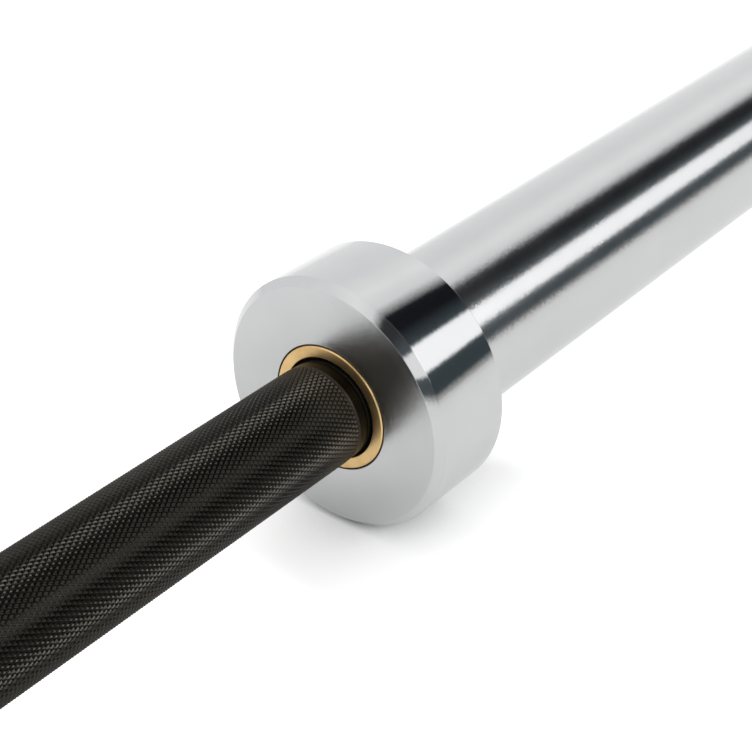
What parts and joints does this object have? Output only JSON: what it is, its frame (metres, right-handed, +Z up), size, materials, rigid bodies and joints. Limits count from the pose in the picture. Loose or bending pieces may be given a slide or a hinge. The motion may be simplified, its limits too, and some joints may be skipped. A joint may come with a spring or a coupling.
{
  "type": "olympic barbell",
  "caption": "Long steel barbell with a black knurled grip and a chromed sleeve on each end that spins in bronze bushings behind a thick collar, for loading weight plates.",
  "frame": {"origin": "middle of the bar, on its axis", "axes": "+X along the bar towards the right sleeve, +Z up, with the bar level"},
  "size_m": [2.2, 0.075, 0.075],
  "materials": {
    "black_shaft": "black oxide on knurled bar",
    "bright_chrome": "bright hard chrome",
    "turned_steel": "fine turned, hard chrome",
    "bronze": "satin machined bronze",
    "black_acetal": "black acetal",
    "plain_steel": "plain steel"
  },
  "bodies": {
    "shaft": {"shaft": "black_shaft", "left_outer_thrust_washer": "plain_steel", "left_spring_washer": "plain_steel", "left_shaft_snap_ring": "plain_steel", "right_outer_thrust_washer": "plain_steel", "right_spring_washer": "plain_steel", "right_shaft_snap_ring": "plain_steel"},
    "left_sleeve": {"left_collar": "turned_steel", "left_sleeve": "bright_chrome", "left_inner_bushing": "bronze", "left_outer_bushing": "bronze", "left_inner_thrust_washer": "black_acetal", "left_end_cap": "bright_chrome", "left_end_cap_snap_ring": "plain_steel"},
    "right_sleeve": {"right_collar": "turned_steel", "right_sleeve": "bright_chrome", "right_inner_bushing": "bronze", "right_outer_bushing": "bronze", "right_inner_thrust_washer": "black_acetal", "right_end_cap": "bright_chrome", "right_end_cap_snap_ring": "plain_steel"}
  },
  "joints": [
    {"name": "left_sleeve_spin", "type": "hinge", "parent": "shaft", "child": "left_sleeve", "pos_m": [-0.655, 0, 0], "axis": [1, 0, 0], "continuous": true},
    {"name": "right_sleeve_spin", "type": "hinge", "parent": "shaft", "child": "right_sleeve", "pos_m": [0.655, 0, 0], "axis": [1, 0, 0], "continuous": true}
  ]
}
